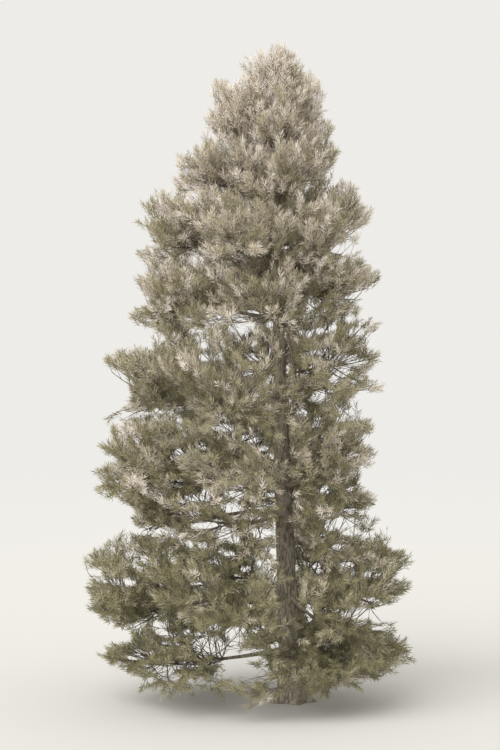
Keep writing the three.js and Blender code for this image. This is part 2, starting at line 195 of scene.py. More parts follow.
bough = {
    "leastReach": 2.75,
    "baseRadius": 0.016,
    "radiusPerReach": 0.0105,
    "tipShare": 0.62,
    "ends": (0.27, 0.36),
    "collar": 0.55,
    "collarLength": 0.13,
    "footLevel": 0.24,
    "tipLevels": (0.2, 0.45),
    "shortest": 0.86,
    "skylineCosine": 0.9,
    "bend": 0.1,
    "bareFootShare": 0.8,
    "beyondStem": 0.744,  # metres between a stem's end and the crown's edge
}

twig = {
    "count": 0.75,  # on each metre of a stem, by its storey's fill
    "more": 1.5,  # added to that count
    "least": 3,
    "footShares": (0.03, 0.8),
    "places": (0.03, 0.93),
    "levels": (0.86, 0.04, 0.6, 0.2),
    "stagger": 0.5,  # share of the space between two twigs that a twig may move by
    "sideways": (0.47, 0.62),
    "ahead": 0.13,
    "outermost": 0.86,
    "radii": (0.0136, 0.006),  # at its foot and at its end
    "sides": 4,
    "sag": 0.05,  # share of its length
    "points": 5,
}

stem = {
    "measuringPoints": 21,
    "endRadius": 0.014,
    "sides": 7,
    "points": 13,
    "beyond": 0.55,  # share of the way to the crown's edge that the last twig goes on
}

# The storeys of the crown, from the ground up. Pairs give the left edge and the right edge. The taper is the
# share of its reach that a storey loses up to its ceiling.
crownFloor = {"ceiling": (0.3, 0.66), "rise": -0.52, "reach": (1.2, 0.9)}
storeys = [
    {"ceiling": (1.4, 1.56), "rise": -0.16, "reach": (3.56, 2.42), "masses": 3, "start": 176,
     "fill": 0.7, "taper": 0.0},
    {"ceiling": (3.1, 3.2), "rise": -0.42, "reach": (3.96, 2.44), "masses": 6, "start": 183,
     "fill": 0.8, "taper": 0.02},
    {"ceiling": (4.0, 4.45), "rise": -0.15, "reach": (3.35, 1.75), "masses": 5, "start": 160,
     "fill": 0.75, "taper": 0.0},
    {"ceiling": (5.58, 5.9), "rise": 0.12, "reach": (3.62, 1.88), "masses": 5, "start": 184,
     "fill": 0.85, "taper": 0.1},
    {"ceiling": (7.15, 7.8), "rise": 0.0, "reach": (3.48, 2.06), "masses": 5, "start": 170,
     "fill": 0.85, "taper": 0.1},
    {"ceiling": (8.6, 8.9), "rise": 0.18, "reach": (2.82, 1.95), "masses": 5, "start": 190,
     "fill": 0.9, "taper": 0.04},
    {"ceiling": (9.9, 10.2), "rise": 0.42, "reach": (2.68, 1.9), "masses": 5, "start": 172,
     "fill": 0.9, "taper": 0.06},
    {"ceiling": (11.1, 11.35), "rise": 0.7, "reach": (2.08, 1.24), "masses": 4, "start": 186,
     "fill": 1.3, "taper": 0.14},
    {"ceiling": (12.2, 12.35), "rise": 0.8, "reach": (1.48, 1.0), "masses": 3, "start": 168,
     "fill": 1.4, "taper": 0.16},
]

# How the storeys meet, and how far their foliage goes.
room = {
    "betweenStoreys": 0.01,
    "swing": 0.14,  # rise and fall of a ceiling round the tree, as a share of its reach
    "secondSwing": 0.5,
    "ripple": 0.18,  # metres, of finer waves in a ceiling
    "rippleCount": 13,
    "rippleTwist": 4,
    "ripplePhase": 0.35,
    "spill": 0.14,  # how far needles stand past the floor and the ceiling of their storey
    "fullReach": 1.07,
    "edgeCosines": (0.86, 0.95),  # from where to where a mass reaches out to the crown's left or right edge
    "roundEnd": 0.05,  # how much sooner a storey ends at its floor and its ceiling, as a share of its reach
    "dips": 0.18,  # the same between the pointed tips of its outline
    "tipHeight": 0.15,  # half the height of such a tip
    "beyondBox": 0.03,  # metres past the solids' box
}

# The heights of the pointed tips on the crown's left and right.
leftTips = np.array(
    [0.95, 1.95, 2.3, 2.85, 4.15, 4.5, 5.0, 5.45, 6.7, 7.55, 8.2, 8.75, 9.35, 9.75, 10.15, 10.6, 11.4, 12.0]
)
rightTips = np.array([1.0, 2.25, 2.8, 3.95, 4.8, 5.45, 6.15, 6.75, 7.35, 8.35, 9.5, 10.7, 11.3, 11.9])

# Where sky shows through the crown from the front: across, height, half width, half height.
skyGaps = [
    (-1.6, 1.12, 0.34, 0.14), (-1.3, 0.86, 0.3, 0.13), (-0.95, 0.6, 0.3, 0.13), (-2.5, 0.62, 0.24, 0.08),
    (-1.15, 1.38, 0.22, 0.06), (-1.9, 3.98, 0.3, 0.06), (-1.15, 4.05, 0.18, 0.07),
    (-3.35, 2.35, 0.35, 0.06), (-2.8, 3.35, 0.45, 0.05),
    (-1.6, 3.45, 0.36, 0.08), (-1.2, 3.8, 0.24, 0.07), (-0.62, 3.3, 0.18, 0.1), (0.33, 1.75, 0.07, 0.25),
    (1.5, 1.72, 0.55, 0.10), (1.0, 3.5, 0.36, 0.10), (-0.8, 5.15, 0.2, 0.07), (1.62, 5.95, 0.25, 0.06),
    (1.4, 7.95, 0.25, 0.08), (1.1, 8.85, 0.35, 0.07), (-2.95, 7.1, 0.35, 0.05), (-3.2, 5.62, 0.3, 0.05),
]
gapFringe = (0.25, 1.4)  # how ragged the rims of the gaps are

# Small openings, strewn over parts of the crown.
speck = {"seed": 31, "halfWidths": (0.05, 0.22), "halfHeights": (0.03, 0.06)}
skySpecks = [
    {"count": 24, "across": (0.15, 1.6), "heights": (4.0, 7.9)},
    {"count": 26, "across": (0.25, 1.7), "heights": (5.6, 7.3)},
    {"count": 14, "across": (-1.8, -0.3), "heights": (6.2, 7.6)},
    {"count": 34, "across": (-2.4, -0.3), "heights": (2.9, 5.5)},
    {"count": 16, "across": (0.3, 2.1), "heights": (2.4, 3.9)},
    {"count": 10, "across": (0.4, 2.0), "heights": (1.3, 2.0)},
    {"count": 8, "across": (-3.2, -0.5), "heights": (1.8, 2.9)},
    {"count": 66, "across": (-3.3, -0.3), "heights": (0.3, 1.5)},
]

# How much of the foliage in front of the trunk is left, so that the trunk shows as a dark line.
trunkView = {
    "halfWidth": 0.34,
    "kept": 0.2,
    "fades": (7.0, 10.0),  # heights between which the foliage closes over it
}


def lerp(low, high, share):
    return low + (high - low) * share


def unit(vectors):
    lengths = np.linalg.norm(vectors, axis=-1, keepdims=True)
    return vectors / np.maximum(lengths, shortest)


# The seeded stream that the solids' limbs are drawn with.
def seededStream(seed):
    state = seed

    def draw():
        nonlocal state
        state = (state + 0x6D2B79F5) & 0xFFFFFFFF
        mixed = (state ^ (state >> 15)) * (state | 1) & 0xFFFFFFFF
        mixed ^= (mixed + (mixed ^ (mixed >> 7)) * (mixed | 61)) & 0xFFFFFFFF
        return (mixed ^ (mixed >> 14)) / 4294967296

    return draw


def trunkCentre(height):
    height = np.asarray(height, float)
    share = height / treeHeight
    left = -trunk["leanLeft"] * np.sin(trunk["leanTurn"] * share)
    back = trunk["swayBack"] * np.sin(trunk["swayTurn"] * share)
    return np.stack([left, back, height], -1)


def trunkRadius(height, turn):
    taper = np.maximum(0, 1 - height / trunk["height"]) ** trunk["taperPower"]
    plain = trunk["tipRadius"] + (trunk["footRadius"] - trunk["tipRadius"]) * taper
    flare = np.exp(-height / trunk["flareHeight"])
    flute = 1 + trunk["fluteDepth"] * flare * np.cos(trunk["fluteCount"] * turn + trunk["fluteTurn"])
    return (plain + trunk["flareRadius"] * flare) * flute


# One value at the crown's left edge, another at its right edge, and a smooth turn between them.
def aroundTree(pair, turn):
    left, right = pair
    return (left + right) / 2 - (left - right) / 2 * np.cos(turn)


def ceilingHeight(level, turn, share):
    swing = np.sin(turn) + room["secondSwing"] * np.sin(2 * turn)
    lift = room["swing"] * swing * aroundTree(level["reach"], turn) * np.sqrt(share)
    phase = level["ceiling"][0] / room["ripplePhase"]
    wave = np.sin(room["rippleCount"] * turn + room["rippleTwist"] * share + phase)
    ripple = room["ripple"] * wave * share * (1 - share) * 4  # strongest halfway out
    return aroundTree(level["ceiling"], turn) - level["rise"] * (1 - share) + lift + ripple


def storeyHeights(index, turn, share):
    below = storeys[index - 1] if index > 0 else crownFloor
    low = ceilingHeight(below, turn, share) + room["betweenStoreys"]
    return low, ceilingHeight(storeys[index], turn, share)


def crownPoint(index, turn, share, level):
    low, high = storeyHeights(index, turn, share)
    out = share * aroundTree(storeys[index]["reach"], turn)
    away = np.stack([out * np.cos(turn), out * np.sin(turn), np.zeros_like(out * turn)], -1)
    return trunkCentre(lerp(low, high, level)) + away


def placeRound(points):
    away = points - trunkCentre(points[..., 2])
    return np.hypot(away[..., 0], away[..., 1]), np.arctan2(away[..., 1], away[..., 0])


def scatterSpecks():
    chance = np.random.default_rng(speck["seed"])
    specks = []
    for area in skySpecks:
        spans = (area["across"], area["heights"], speck["halfWidths"], speck["halfHeights"])
        specks += [tuple(chance.uniform(*span) for span in spans) for k in range(area["count"])]
    return specks


openings = skyGaps + scatterSpecks()


# Whether points show in one of the gaps, seen from the camera onto the upright plane through the trunk. A
# fringe over 1 widens the gaps, one under 1 narrows them.
def inGap(points, gaps, fringe=1.0):
    eye = np.array(cameraPlace())
    nearness = -eye[1] / (points[..., 1] - eye[1])
    shownAcross = eye[0] + (points[..., 0] - eye[0]) * nearness
    shownHeight = eye[2] + (points[..., 2] - eye[2]) * nearness
    found = np.zeros(points.shape[:-1], bool)
    for across, height, halfWidth, halfHeight in gaps:
        off = ((shownAcross - across) / halfWidth) ** 2 + ((shownHeight - height) / halfHeight) ** 2
        found |= off < fringe
    return found


def inBox(points):
    low, high = np.array(cadBox[0]) - room["beyondBox"], np.array(cadBox[1]) + room["beyondBox"]
    return ((points > low) & (points < high)).all(-1)


# How far a mass reaches at a turn, as a share of its storey's reach.
def reachShare(mass, turn):
    atEdge = np.interp(np.abs(np.cos(turn)), room["edgeCosines"], (0, 1))
    return lerp(mass["reachShare"], 1, atEdge)


# Whether points are in the space of a mass: its storey, its slice round the trunk, and its reach.
def inSpace(mass, points):
    out, turn = placeRound(points)
    share = out / aroundTree(storeys[mass["storey"]]["reach"], turn)
    low, high = storeyHeights(mass["storey"], turn, np.minimum(share, 1))
    level = (points[..., 2] - low + room["spill"]) / (high - low + 2 * room["spill"])
    offTurn = np.abs((turn - mass["turn"] + math.pi) % fullTurn - math.pi)
    toLeft = np.abs(points[..., 2, None] - leftTips).min(-1)
    toRight = np.abs(points[..., 2, None] - rightTips).min(-1)
    away = np.where(np.cos(turn) < 0, toLeft, toRight) / room["tipHeight"]
    dip = 1 - np.exp(-(away**2) / 2)
    edge = room["fullReach"] - room["roundEnd"] * (2 * level - 1) ** 2 - room["dips"] * dip
    edge = edge - storeys[mass["storey"]]["taper"] * level
    inReach = share <= reachShare(mass, turn) * edge
    inStorey = (level > 0) & (level < 1) & (offTurn < mass["halfSlice"])
    return inReach & inStorey & (out > trunkRadius(points[..., 2], turn)) & inBox(points)


# A smooth curve through points, with the spacing of the solids' limbs.
def smoothCurve(points, shares):
    points = np.asarray(points)
    places = np.asarray(shares) * (len(points) - 1)
    steps = np.clip(places.astype(int), 0, len(points) - 2)
    weight = (places - steps)[:, None]
    before = np.vstack([2 * points[:1] - points[1:2], points, 2 * points[-1:] - points[-2:-1]])
    p0, p1, p2, p3 = (before[steps + k] for k in range(4))
    pairs = ((p0, p1), (p1, p2), (p2, p3))
    d0, d1, d2 = (np.linalg.norm(b - a, axis=1, keepdims=True) ** 0.5 for a, b in pairs)
    t1 = ((p1 - p0) / d0 - (p2 - p0) / (d0 + d1) + (p2 - p1) / d1) * d1
    t2 = ((p2 - p1) / d1 - (p3 - p1) / (d1 + d2) + (p3 - p2) / d2) * d1
    c2 = -3 * p1 + 3 * p2 - 2 * t1 - t2
    c3 = 2 * p1 - 2 * p2 + t1 + t2
    return p1 + t1 * weight + c2 * weight**2 + c3 * weight**3


def planTwigs(mass, draw):
    storey = storeys[mass["storey"]]
    finePoints = smoothCurve(mass["stem"], np.linspace(0, 1, stem["measuringPoints"]))
    length = np.linalg.norm(np.diff(finePoints, axis=0), axis=1).sum()
    number = max(twig["least"], math.floor(length * twig["count"] * storey["fill"] + twig["more"] + 0.5))
    for j in range(number):
        step = (j + twig["stagger"] * draw()) / (number - twig["stagger"])
        share = lerp(mass["stemShare"] + twig["footShares"][0], twig["footShares"][1], step)
        place = (share - mass["stemShare"]) / (1 - mass["stemShare"])
        place = min(max(place, twig["places"][0]), twig["places"][1])
        hand = 1 if (j + mass["number"]) % 2 == 0 else -1
        turn = mass["turn"] + hand * mass["halfSlice"] * lerp(*twig["sideways"], draw())
        level = twig["levels"][(j + mass["serial"]) % len(twig["levels"])]
        end = crownPoint(mass["storey"], turn, min(twig["outermost"], share + twig["ahead"]), level)
        yield place, end


def planMass(index, number, serial):
    storey = storeys[index]
    draw = seededStream(limb["firstSeed"] + limb["seedStep"] * serial)
    turn = math.radians(storey["start"]) + number * fullTurn / storey["masses"]
    edge = aroundTree(storey["reach"], turn)
    atSkyline = abs(math.cos(turn)) > bough["skylineCosine"]
    reach = edge if atSkyline else edge * lerp(bough["shortest"], 1, draw())
    hasBough = edge > bough["leastReach"]
    stemShare = lerp(*bough["ends"], draw()) if hasBough else 0
    bend = lerp(-bough["bend"], bough["bend"], draw())
    tipLevel = lerp(*bough["tipLevels"], draw())

    def linePoint(share):
        level = lerp(bough["footLevel"], tipLevel, share)
        return crownPoint(index, turn + bend * share * share, share * reach / edge, level)

    def part(start, end):
        return np.array([linePoint(lerp(start, end, share)) for share in np.linspace(0, 1, limb["points"])])

    footRadius = bough["baseRadius"] + bough["radiusPerReach"] * edge
    mass = {
        "storey": index, "number": number, "serial": serial,
        "turn": turn, "halfSlice": math.pi / storey["masses"],
        "stemShare": stemShare, "footRadius": footRadius, "reach": reach, "reachShare": reach / edge,
        "tip": linePoint(1),
        "boughLine": part(0, stemShare) if hasBough else None,
        "stem": part(stemShare, 1 - bough["beyondStem"] / reach),
    }
    mass["stemFoot"] = footRadius * (bough["tipShare"] if hasBough else bough["bareFootShare"])
    mass["twigs"] = list(planTwigs(mass, draw))
    return mass


def planTree():
    masses = []
    for index, storey in enumerate(storeys):
        for number in range(storey["masses"]):
            masses.append(planMass(index, number, len(masses)))
    return masses


# joined meshes from arrays

def makePiece(name, vertices, faces, material, slot, nodes, smooth=False):
    mesh = bpy.data.meshes.new(name)
    faces = np.ascontiguousarray(faces, np.int32)
    mesh.vertices.add(len(vertices))
    mesh.vertices.foreach_set("co", np.ascontiguousarray(vertices, np.float32).ravel())
    mesh.loops.add(faces.size)
    mesh.loops.foreach_set("vertex_index", faces.ravel())
    mesh.polygons.add(len(faces))
    mesh.polygons.foreach_set("loop_start", np.arange(0, faces.size, faces.shape[1], dtype=np.int32))
    mesh.polygons.foreach_set("use_smooth", np.full(len(faces), smooth))
    mesh.update(calc_edges=True)
    mesh.materials.append(material)
    piece = addObject(name, mesh)
    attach(piece, "root")
    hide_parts(*nodes)
    print(name, len(faces) * (faces.shape[1] - 2), "triangles")
    return piece


# Tubes round many lines at once: lines is (tubes, rings, 3) and radii (tubes, rings).
def tubes(lines, radii, sides):
    along = unit(np.gradient(lines, axis=1))
    side = np.cross(along, upward)
    upright = np.linalg.norm(side, axis=-1) < 1e-3  # too near to it to stand across it
    side[upright] = (1, 0, 0)
    side = unit(side)
    over = np.cross(side, along)
    angles = np.arange(sides) * fullTurn / sides
    ring = side[:, :, None] * np.cos(angles)[:, None] + over[:, :, None] * np.sin(angles)[:, None]
    vertices = lines[:, :, None] + ring * radii[:, :, None, None]
    index = np.arange(vertices[..., 0].size).reshape(vertices.shape[:3])
    nextIndex = np.roll(index, -1, 2)
    faces = np.stack([index[:, :-1], index[:, 1:], nextIndex[:, 1:], nextIndex[:, :-1]], -1)
    return vertices.reshape(-1, 3), faces.reshape(-1, 4)


def joinParts(parts):
    vertices, faces, count = [], [], 0
    for points, quads in parts:
        vertices.append(points)
        faces.append(quads + count)
        count += len(points)
    return np.concatenate(vertices), np.concatenate(faces)


# twigs and shoots

massSeed = 9000  # of the first mass's twigs and branchlets

finerTwig = {
    "perArea": 6.0,  # on each square metre that a mass spreads over, by its storey's fill
    "least": 6,
    "sideways": (0.08, 0.9),  # share of the way to the next mass
    "ahead": (0.05, 0.24),  # share of the reach between its foot and its end
    "levels": (0.0, 0.95),
    "fringe": 0.33,  # metres between a twig's end and the crown's edge
    "fanLevels": (0.03, 0.97, 0.35, 0.7),  # heights in the storey that the twigs at a stem's end turn to
    "fanFoot": 0.7,  # share of the stem where they begin
    "fanSpread": 0.3,
    "sideLevels": (0.1, 0.45, 0.8),  # heights of the twigs that turn to the crown's left or right edge
    "sideSlice": 0.92,  # share of the mass's slice in which that edge must lie
}

branchlet = {
    "spacing": 0.13,  # along a stem or twig
    "length": 0.56,
    "sizes": (1.0, 0.8, 0.6, 0.42),
    "spreads": (0.55, 0.85, 1.15),
    "lastSpread": 0.3,  # share of the spread at a twig's end
    "lean": 0.3,
    "upright": (0.1, 1.1),
    "uprightPower": 1.6,
    "choices": 6,
    "leastAir": 0.13,
    "roots": (0.2, 0.8),  # where it may stand in its own spacing
    "lengths": (0.8, 1.15),
    "middle": 0.6,
    "radii": (0.0065, 0.0026),
    "sides": 3,
    "twist": 1.7,  # radians from one twig's branchlets to the next twig's
}

shoot = {
    "spacing": 0.1,
    "length": 0.23,
    "lengths": (0.75, 1.15),
    "sideLength": 0.75,  # share of the last shoot's length
    "spreads": (0.8, 0.08),  # off the branchlet, along it and at its end
    "lift": (0.15, 0.7),  # how far a shoot turns up, at the ground and at the top
    "margin": 0.07,  # needles beyond a shoot's tip
    "inside": 0.9,  # share of its length that has to lie in its mass's space
    "radius": 0.0045,
    "sides": 3,
}

needle = {
    "count": 14,
    "length": 0.135,
    "width": 0.016,
    "fold": 0.25,  # height of the fold, as a share of the width
    "spreads": (1.05, 0.3),  # radians off the shoot, at its root and at its tip
    "spreadChance": 0.15,
    "rollChance": 0.6,
    "placeChance": 0.02,
    "lengths": (0.8, 1.1),
    "widest": 0.4,  # share of the length from its foot to its widest place
}


def uprightness(height):
    return lerp(*branchlet["upright"], (height / treeHeight) ** branchlet["uprightPower"])


def sideDirections(along, turns, spreads, point):
    side = unit(np.cross(along, upward))
    over = np.cross(side, along)
    out, turn = placeRound(point)
    outward = np.array([math.cos(turn), math.sin(turn), 0])
    directions = along + spreads[:, None] * (side * np.cos(turns)[:, None] + over * np.sin(turns)[:, None])
    directions = unit(directions + branchlet["lean"] * outward)
    directions[:, 2] += uprightness(point[2])
    return unit(directions)


# Branchlets along one line of a mass, turned round it by the golden angle, each in the direction with the
# most air round it and at the longest size that keeps to the mass's space.
def growBranchlets(mass, line, chance, taken, startTurn):
    steps = np.linalg.norm(np.diff(line, axis=0), axis=1)
    travelled = np.concatenate([[0], np.cumsum(steps)])
    count = max(1, round(travelled[-1] / branchlet["spacing"]))
    grown, lastPlace = [], 0.0
    for k in range(count + 1):
        last = k == count
        place = travelled[-1] * (1 if last else (k + chance.uniform(*branchlet["roots"])) / count)
        root = np.array([np.interp(place, travelled, line[:, axis]) for axis in range(3)])
        step = min(np.searchsorted(travelled, place, "right"), len(line) - 1)
        along = unit(line[step] - line[step - 1])
        choices = np.arange(branchlet["choices"])
        turns = startTurn + goldenAngle * k + choices * fullTurn / len(choices)
        spreads = np.array(branchlet["spreads"])[(k + choices) % len(branchlet["spreads"])]
        directions = sideDirections(along, turns, spreads * (branchlet["lastSpread"] if last else 1), root)
        fullLength = branchlet["length"] * chance.uniform(*branchlet["lengths"])
        for size in branchlet["sizes"]:
            length = fullLength * size
            tips = root + directions * (length + shoot["margin"])
            middles = root + directions * length * branchlet["middle"]
            fits = inSpace(mass, tips) & inSpace(mass, middles)
            fits &= ~inGap(middles, skyGaps) & ~inGap(tips, skyGaps)
            if not fits.any():
                continue
            air = np.full(len(tips), math.inf)
            if taken:
                others = np.array(taken)
                air = np.minimum(
                    np.linalg.norm(tips[:, None] - others, axis=2).min(1),
                    np.linalg.norm(middles[:, None] - others, axis=2).min(1),
                )
            air[~fits] = -1
            best = int(air.argmax())
            if air[best] > branchlet["leastAir"]:
                taken += [tips[best], middles[best]]
                grown.append((root, directions[best], length))
                lastPlace = place
                break
    return grown, lastPlace / travelled[-1]


# The line of a twig, which sags a little and turns up at its end.
def twigLine(foot, end):
    shares = np.linspace(0, 1, twig["points"])
    line = foot + (end - foot) * shares[:, None]
    line[:, 2] -= twig["sag"] * np.linalg.norm(end - foot) * np.sin(math.pi * shares)
    return line


def outermostShare(mass, turn):
    edge = aroundTree(storeys[mass["storey"]]["reach"], turn)
    return reachShare(mass, turn) * room["fullReach"] - finerTwig["fringe"] / edge


# Finer twigs, left and right of the stem in turn, whose ends are spread over the whole height of the storey,
# and a fan of them at the stem's end.
def growFinerTwigs(mass, chance):
    stemReach = (1 - mass["stemShare"]) * mass["reach"]
    spreadArea = mass["halfSlice"] * mass["reach"] * stemReach
    wanted = finerTwig["perArea"] * spreadArea * storeys[mass["storey"]]["fill"]
    number = max(finerTwig["least"], round(wanted))
    for j in range(number):
        place = (j + chance.uniform(0, 1)) / number
        share = lerp(mass["stemShare"], 1 - bough["beyondStem"] / mass["reach"], place)
        hand = 1 if j % 2 == 0 else -1
        turn = mass["turn"] + hand * mass["halfSlice"] * chance.uniform(*finerTwig["sideways"])
        level = lerp(*finerTwig["levels"], (j * goldenAngle + mass["serial"]) % 1)
        share = min(outermostShare(mass, turn), share + chance.uniform(*finerTwig["ahead"]))
        end = crownPoint(mass["storey"], turn, share, level)
        yield twigLine(smoothCurve(mass["stem"], [place])[0], end)
    sideTurn = math.pi if math.cos(mass["turn"]) < 0 else 0.0
    offSide = (sideTurn - mass["turn"] + math.pi) % fullTurn - math.pi
    fanTurn = mass["halfSlice"] * finerTwig["fanSpread"]
    fan = [(level, fanTurn * chance.uniform(-1, 1)) for level in finerTwig["fanLevels"]]
    if abs(offSide) < mass["halfSlice"] * finerTwig["sideSlice"]:
        fan += [(level, offSide) for level in finerTwig["sideLevels"]]
    for level, offTurn in fan:
        place = chance.uniform(finerTwig["fanFoot"], 1)
        turn = mass["turn"] + offTurn
        end = crownPoint(mass["storey"], turn, outermostShare(mass, turn), level)
        yield twigLine(smoothCurve(mass["stem"], [place])[0], end)


# A mass: its stem, its twigs as far as their last branchlet, and the branchlets on them all.
def growMass(mass):
    chance = np.random.default_rng(massSeed + mass["serial"])
    stemLine = smoothCurve(mass["stem"], np.linspace(0, 1, stem["points"]))
    twigs = [twigLine(stemLine[-1], lerp(stemLine[-1], mass["tip"], stem["beyond"]))]
    for place, end in mass["twigs"]:
        twigs.append(twigLine(smoothCurve(mass["stem"], [place])[0], end))
    twigs += growFinerTwigs(mass, chance)
    living, branchlets, taken = [], [], []
    for k, line in enumerate(twigs):
        startTurn = mass["serial"] + branchlet["twist"] * k
        grown, lastShare = growBranchlets(mass, line, chance, taken, startTurn)
        branchlets += grown
        if grown:
            living.append(smoothCurve(line, np.linspace(0, lastShare, twig["points"])))
    grown, lastShare = growBranchlets(mass, stemLine, chance, taken, mass["serial"])
    return stemLine, living, branchlets + grown


# The top: a leader with upright branchlets all round it, whose tips fill a dome.
dome = {
    "branchlets": 170,
    "foot": 10.9,  # metres up, of its widest part
    "radius": 0.87,
    "left": 0.52,  # how much further it reaches on the left
    "rootDrop": (0.3, 0.55),  # how far under its tip a branchlet starts
    "rootShare": 0.35,  # how far out it starts, as a share of its tip's distance
    "innermost": 0.25,
    "leaderPoints": 7,
    "leaderDrop": 0.3,  # how far under the tree's tip the leader ends in its last spray
    "seed": 77,
}


def growTop():
    chance = np.random.default_rng(dome["seed"])
    leaderEnds = trunkCentre(trunk["height"]), trunkCentre(treeHeight - dome["leaderDrop"])
    leader = np.linspace(*leaderEnds, dome["leaderPoints"])
    ending = unit(trunkCentre(treeHeight) - leader[-1])
    branchlets = [(leader[-1], ending, dome["leaderDrop"] - shoot["margin"])]
    for k in range(dome["branchlets"]):
        turn = k * goldenAngle
        climb = (k + 0.5) / dome["branchlets"]
        out = dome["radius"] * math.sqrt((1 - climb**2) * chance.uniform(dome["innermost"], 1))
        out *= 1 + dome["left"] * max(0, -math.cos(turn))
        height = lerp(dome["foot"], treeHeight - shoot["margin"], climb)
        tip = trunkCentre(height) + (out * math.cos(turn), out * math.sin(turn), 0)
        drop = chance.uniform(*dome["rootDrop"])
        root = trunkCentre(height - drop) + dome["rootShare"] * (tip - trunkCentre(height))
        reach = np.linalg.norm(tip - root)
        branchlets.append((root, (tip - root) / reach, reach))
    return leader, branchlets


# Shoots on every branchlet: side shoots turned round it by the golden angle, and one at its end.
def growShoots(branchlets, chance):
    roots, directions, lengths, owners = [], [], [], []
    for owner, (root, direction, length) in enumerate(branchlets):
        count = max(2, round(length / shoot["spacing"]))
        side = unit(np.cross(direction, upward))
        over = np.cross(side, direction)
        for k in range(1, count + 1):
            last = k == count
            start = root + direction * length * (1 if last else k / count)
            turn = goldenAngle * k + owner
            heading = direction + (side * math.cos(turn) + over * math.sin(turn)) * shoot["spreads"][last]
            heading[2] += lerp(*shoot["lift"], start[2] / treeHeight)
            heading = unit(heading)
            reach = shoot["length"] * (1 if last else shoot["sideLength"])
            reach *= chance.uniform(*shoot["lengths"])
            roots.append(start - heading * reach if last else start)
            directions.append(heading)
            lengths.append(reach)
            owners.append(owner)
    return map(np.array, (roots, directions, lengths, owners))


# Which shoots of a mass stay: those in its space that leave the openings and some of the trunk's front free.
def standsFree(mass, roots, directions, lengths, chance):
    tips = roots + directions * (lengths + shoot["margin"])[:, None]
    middles = lerp(roots, tips, 0.5)
    fringe = chance.uniform(*gapFringe, len(roots))
    kept = inSpace(mass, lerp(roots, tips, shoot["inside"]))
    kept &= ~inGap(tips, openings, fringe) & ~inGap(middles, openings, fringe)
    aside = np.abs(middles[:, 0] - trunkCentre(middles[:, 2])[:, 0]) / trunkView["halfWidth"]
    closing = np.interp(middles[:, 2], trunkView["fades"], (0, 1))
    share = lerp(trunkView["kept"], 1, np.clip(np.maximum(aside**2, closing), 0, 1))
    return kept & ((chance.random(len(roots)) < share) | (middles[:, 1] > 0))


# A slim cone for the wood of each shoot.
def shootCones(roots, directions, lengths):
    sides = shoot["sides"]
    side = unit(np.cross(directions, upward + nudge))
    over = np.cross(side, directions)
    turns = np.arange(sides) * fullTurn / sides
    ring = side[:, None] * np.cos(turns)[:, None] + over[:, None] * np.sin(turns)[:, None]
    feet = roots[:, None] + shoot["radius"] * ring
    tips = roots + directions * lengths[:, None]
    vertices = np.concatenate([feet, tips[:, None]], 1)
    first = (sides + 1) * np.arange(len(roots))[:, None, None]
    faces = first + np.array([(k, (k + 1) % sides, sides) for k in range(sides)])
    return vertices.reshape(-1, 3), faces.reshape(-1, 3)


# Kite-shaped folded blades round each shoot, denser and closer to it towards its tip.
def growNeedles(roots, directions, lengths, chance):
    count = needle["count"]
    number = len(roots)
    share = (np.arange(count) + 0.5) / count
    share = np.clip(share + needle["placeChance"] * chance.uniform(-1, 1, (number, count)), 0, 1)
    turn = np.arange(count) * goldenAngle + chance.uniform(0, fullTurn, (number, 1))
    side = unit(np.cross(directions, upward + nudge))
    over = np.cross(side, directions)
    radial = side[:, None] * np.cos(turn)[..., None] + over[:, None] * np.sin(turn)[..., None]
    spread = lerp(*needle["spreads"], share)
    spread += needle["spreadChance"] * chance.uniform(-1, 1, (number, count))
    heading = directions[:, None] * np.cos(spread)[..., None] + radial * np.sin(spread)[..., None]
    across = unit(np.cross(heading, radial + nudge))
    across = unit(across + radial * needle["rollChance"] * chance.uniform(-1, 1, (number, count, 1)))
    crest = np.cross(across, heading)
    length = needle["length"] * chance.uniform(*needle["lengths"], (number, count, 1))
    foot = roots[:, None] + directions[:, None] * (share * lengths[:, None])[..., None]
    middle = foot + heading * length * needle["widest"]
    half = across * needle["width"] / 2
    fold = crest * needle["width"] * needle["fold"]
    return np.stack([foot, middle - half + fold, foot + heading * length, middle + half + fold], 2)


# materials

# Two colours mixed by a noise pattern, from the first to the second over a range of the pattern's values.
def noiseMix(material, place, colors, pattern):
    links = material.node_tree.links
    scale, detail, valueRange = pattern
    noiseNode = addNode(material, "ShaderNodeTexNoise", {"Scale": scale, "Detail": detail})
    ramp = addNode(material, "ShaderNodeValToRGB")
    for element, position, color in zip(ramp.color_ramp.elements, valueRange, colors):
        element.position = position
        element.color = (*color, 1)
    links.new(place, noiseNode.inputs["Vector"])
    links.new(noiseNode.outputs["Fac"], ramp.inputs["Fac"])
    return ramp.outputs["Color"]


# Each tint's shares of the sprays at these heights above the ground. Besides the needles' own varied tone,
# this is
# partly painted light: the deep tints dealt out low down paint shade, and the pale grey and straw tints,
# dealt out more and more higher up, paint the bright misty light and highlights of the upper crown and lift
# its shade.
tintAndPaintedLightHeights = (2.0, 4.5, 6.75, 9.0, 11.0, 12.4)
needleTints = {
    # the deep tint partly paints shade among the lower sprays
    "deep": {"color": (0.250, 0.230, 0.128), "shares": (0.46, 0.14, 0.16, 0.03, 0.0, 0.0)},
    "olive": {"color": (0.350, 0.322, 0.192), "shares": (0.38, 0.25, 0.25, 0.12, 0.0, 0.0)},
    "moss": {"color": (0.455, 0.412, 0.280), "shares": (0.12, 0.27, 0.27, 0.25, 0.12, 0.05)},
    "grey": {"color": (0.595, 0.532, 0.420), "shares": (0.04, 0.24, 0.22, 0.35, 0.36, 0.25)},
    # the straw tint partly paints highlights, most of all on the upper crown
    "straw": {"color": (0.790, 0.720, 0.632), "shares": (0.0, 0.10, 0.10, 0.25, 0.52, 0.70)},
}

needleFinish = {
    "shades": (0.82, 1.2),  # of a tint, from one patch of needles to the next
    "patches": (9.0, 3.0, (0.35, 0.65)),  # scale, detail and range of the noise
    "roughness": 0.55,
    "specular": 0.3,
}


